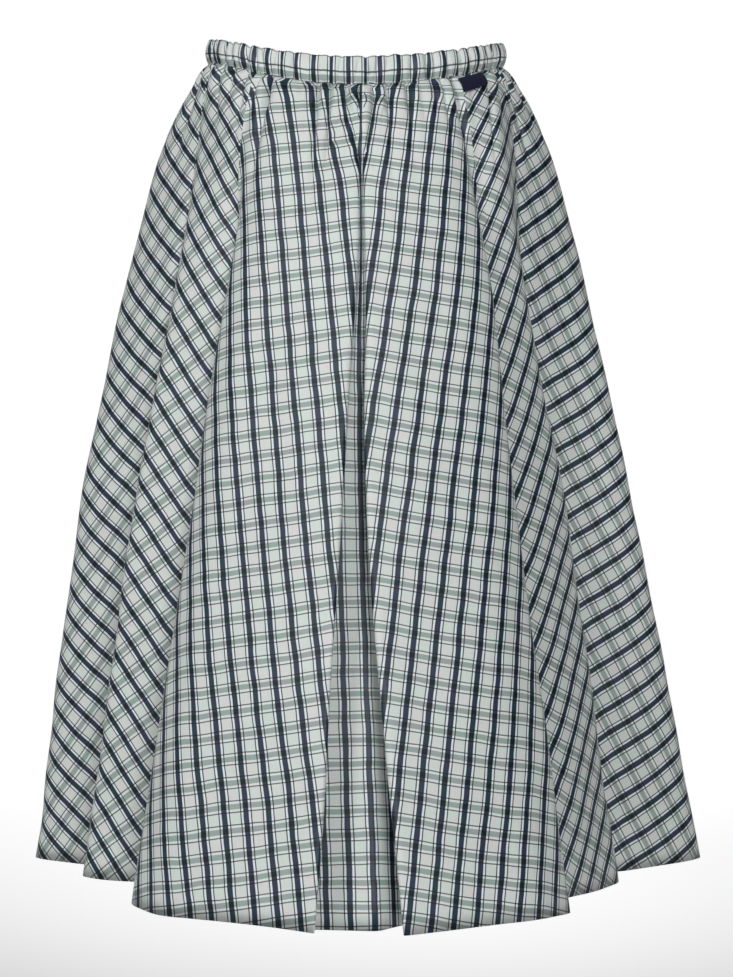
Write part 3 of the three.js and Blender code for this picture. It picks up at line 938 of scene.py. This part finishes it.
# %% Waistband
BAND_COLUMNS, BAND_ROWS = 1400, 24
BAND_HALF_THICKNESS = 1.6 * MM
BAND_PUFF = 2.9 * MM  # how much more it swells out at the middle of its height
BAND_GROOVE_MOST = 6.2 * MM
BAND_INSIDE = 0.35  # share of a groove's depth that the inner face takes
BAND_EDGE, BAND_SCALLOP = 0.6 * MM, 0.34  # past the band's height, and how far a groove draws it in
BAND_WAVE, BAND_WAVES = 1.1 * MM, 0.3  # unevenness of the edges, and how often for each degree
BAND_MERGE = 0.00002
BAND_GATHER = 1.5  # cut length for each unit of finished waist
BAND_CUT = 23 * MM  # the folded strip's width when it lies flat
BAND_LIFT = 0.0128  # where the cut's check starts on the band, in metres

# The grooves between the puckers, round the waist. skew: degrees from the bottom edge to the top.
Groove = namedtuple("Groove", "turn width depth skew")
DEEP_SHARE = 0.4
DEEP_GROOVE, SHALLOW_GROOVE = (4.8, 7.0), (1.6, 3.8)  # millimetres
GROOVE_WIDTH, GROOVE_SKEW, GROOVE_STEP = (0.7, 1.5), (-2.2, 2.2), (2.6, 6.6)  # degrees


def band_grooves():
    """Unevenly spaced grooves. Some of them are much deeper than the rest."""
    chance = random.Random(11)
    grooves = []
    turn = -179.0
    while turn < 178:
        deep = chance.random() < DEEP_SHARE
        depth = chance.uniform(*(DEEP_GROOVE if deep else SHALLOW_GROOVE))
        width = chance.uniform(*GROOVE_WIDTH)
        grooves.append(Groove(turn, width, depth * MM, chance.uniform(*GROOVE_SKEW)))
        turn += chance.uniform(*GROOVE_STEP)
    return grooves


BAND_GROOVES = band_grooves()
print(len(BAND_GROOVES), "grooves in the band")


def groove_at(turn, up):
    """How deep the band's surface lies below its puckers, in metres."""
    depth = 0
    for groove in BAND_GROOVES:
        off = abs(turn_between(turn, groove.turn + groove.skew * up / 2)) / groove.width
        if off < GROOVE_END:
            depth += groove.depth * groove_shape(off)
    return depth


def band_point(turn, way):
    """A point of the casing. way goes once round its section, from the seam up the outer face."""
    angle = 2 * math.pi * way
    up = -math.cos(angle)
    side = math.sin(angle)
    flat_side = math.copysign(abs(side) ** 0.5, side)
    groove = min(groove_at(turn, up), BAND_GROOVE_MOST)
    room = BAND_HALF_THICKNESS + BAND_PUFF * (1 - up * up)
    pressed = groove / (BAND_HALF_THICKNESS + BAND_PUFF) * (1 if side > 0 else BAND_INSIDE)
    out = flat_side * room * (1 - pressed)
    wave = noise.noise(Vector((turn * BAND_WAVES, up, 4.0))) * BAND_WAVE
    edge = (BAND_EDGE + wave - BAND_SCALLOP * groove) * up
    x, y = waist_place(turn)
    top, bottom = band_top(turn), band_bottom(turn)
    height = (top + bottom) / 2 + up * (top - bottom) / 2 + edge
    return Vector((x, y, height)) + waist_normal(turn) * out


def cut_arc():
    """How far along the cut strip each column lies, in metres: grooves take up more of it."""
    arc = [0.0]
    points = [band_point(360 * i / BAND_COLUMNS - 180, 0.25) for i in range(BAND_COLUMNS + 1)]
    for a, b in zip(points, points[1:]):
        arc.append(arc[-1] + (b - a).length)
    return arc


def make_band():
    arc = cut_arc()
    round_waist = sum(
        (Vector(waist_place(i + 1)) - Vector(waist_place(i))).length for i in range(360)
    )
    length = round_waist * BAND_GATHER
    band = bmesh.new()
    bmesh.ops.create_grid(band, x_segments=BAND_COLUMNS, y_segments=BAND_ROWS, size=0.5)
    cut = band.loops.layers.uv.new("cut")
    spot = {}
    for vert in band.verts:
        spot[vert] = (round((vert.co.x + 0.5) * BAND_COLUMNS), vert.co.y + 0.5)
    for face in band.faces:
        face.smooth = True
        for loop in face.loops:
            column, way = spot[loop.vert]
            loop[cut].uv = ((arc[column] / arc[-1] - 0.5) * length, way * 2 * BAND_CUT + BAND_LIFT)
    for vert, (column, way) in spot.items():
        vert.co = band_point(360 * column / BAND_COLUMNS - 180, way)
    bmesh.ops.remove_doubles(band, verts=band.verts, dist=BAND_MERGE)
    bmesh.ops.recalc_face_normals(band, faces=band.faces)
    print("waistband", round(round_waist, 3), "m round,", round(length, 3), "m when cut")
    return to_object("waistband_casing", band, CHECK_CLOTH), length


waistband, band_length = make_band()

# %% [markdown]
# ## The tag
# The tag is a short piece of firm navy tape, folded double, with its fold down and its two ends sewn
# into the waist seam. It is left bare. It is made as a small grid laid on the same rings as the front
# just under the band, and moved out far enough to keep clear of the gathers. Its face is slightly
# domed, because a folded tape is never quite flat.

# %% Tag cloth and tag
TAG_WIDTH, TAG_HEIGHT, TAG_THICKNESS = 29 * MM, 14 * MM, 0.9 * MM
TAG_TURN, TAG_DROP = 47.5, 2.4 * MM  # degrees round the waist, and how far down from the seam
TAG_LIFT = 3.4 * MM  # how far it stands off the smooth form, to clear the gathers
TAG_TILT = 0.12  # how far it leans, as a slope
TAG_DOME_ACROSS, TAG_DOME_DOWN, TAG_EDGE = 0.7 * MM, 0.6 * MM, 0.25 * MM
TAG_COLUMNS, TAG_ROWS = 24, 12
TAG_RINGS = (0, 0.004, 0.008, 0.015, 0.022, 0.03)  # shares of the drop
TAG_RIB = 0.0007
TAG_RIB_DEPTH = 0.0002
TAG_DARK, TAG_PALE = linear(14, 17, 42), linear(28, 32, 66)


def tag_cloth():
    material, shader, wire = new_material("navy tape", Sheen_Weight=0.05, Specular_IOR_Level=0.25)
    place = wire.node("ShaderNodeUVMap", {"uv_map": "cut"})
    across = place.axis(0)
    along = place.axis(1)
    ribs = (along * (2 * math.pi / TAG_RIB)).sine() * 0.5 + 0.5
    warp = (across * (2 * math.pi / (TAG_RIB * 0.7))).sine() * 0.5 + 0.5
    fluff = wire.node("ShaderNodeTexNoise", inputs={"Vector": place, "Scale": 900.0})
    colour = (ribs * 0.5 + fluff * 0.5).blend(TAG_DARK, TAG_PALE)
    height = ribs + warp * 0.5
    bump = wire.node("ShaderNodeBump", inputs={"Height": height, "Distance": TAG_RIB_DEPTH, "Strength": 0.8})
    links = material.node_tree.links
    links.new(colour.socket, shader.inputs["Base Color"])
    links.new((0.62 + fluff * 0.2).socket, shader.inputs["Roughness"])
    links.new(bump.socket, shader.inputs["Normal"])
    return material


def make_tag():
    plan = plan_columns(FRONT_FOLDS)
    rings = [ring_points(FRONT_FOLDS, plan, share) for share in TAG_RINGS]

    def lie(turn, down):
        """The place on the front a length down from the seam, at a turn of the waist."""
        course = []
        for row in rings:
            after = next(j for j, (_, w) in enumerate(row) if w > turn)
            (a, w_a), (b, w_b) = row[after - 1], row[after]
            course.append(a.lerp(b, (turn - w_a) / (w_b - w_a)))
        for above, below in zip(course, course[1:]):
            step = (below - above).length
            if down <= step:
                return above.lerp(below, down / step)
            down -= step
        return course[-1]

    middle = lie(TAG_TURN, 0)
    degree = (lie(TAG_TURN + 0.5, TAG_HEIGHT / 2) - lie(TAG_TURN - 0.5, TAG_HEIGHT / 2)).length
    tag = bmesh.new()
    bmesh.ops.create_grid(tag, x_segments=TAG_COLUMNS, y_segments=TAG_ROWS, size=0.5)
    cut = tag.loops.layers.uv.new("cut")
    for face in tag.faces:
        face.smooth = True
        for loop in face.loops:
            loop[cut].uv = (loop.vert.co.x * TAG_WIDTH, loop.vert.co.y * TAG_HEIGHT)
    for vert in tag.verts:
        across, down = vert.co.x, 0.5 - vert.co.y
        turn = TAG_TURN + (across * TAG_WIDTH + (down - 0.5) * TAG_HEIGHT * TAG_TILT) / degree
        point = lie(turn, TAG_DROP + down * TAG_HEIGHT - across * TAG_WIDTH * TAG_TILT)
        dome = math.cos(math.pi * across) * TAG_DOME_ACROSS + math.sin(math.pi * down) * TAG_DOME_DOWN
        vert.co = point + waist_normal(turn) * (TAG_LIFT + dome)
    piece = to_object("waist_tag", tag, tag_cloth())
    thick = piece.modifiers.new("tape thickness", "SOLIDIFY")
    thick.thickness = TAG_THICKNESS
    thick.offset = 0
    edge = piece.modifiers.new("soft edge", "BEVEL")
    edge.width = TAG_EDGE
    edge.segments = 2
    print("tag at", [round(v, 4) for v in middle])
    return piece


tag = make_tag()

# %% [markdown]
# ## Pieces to bodies
# Cloth has no joints, so every piece rides on the one body. Each piece stands for its CAD solid,
# which stays for collision.

# %% Ride and replace
for piece, node, slot in (
    (front, "front", "check_cloth"),
    (back, "back", "check_cloth"),
    (waistband, "waistband", "check_cloth"),
    (tag, "tag", "tag_cloth"),
):
    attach(piece, "root")
    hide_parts(node)
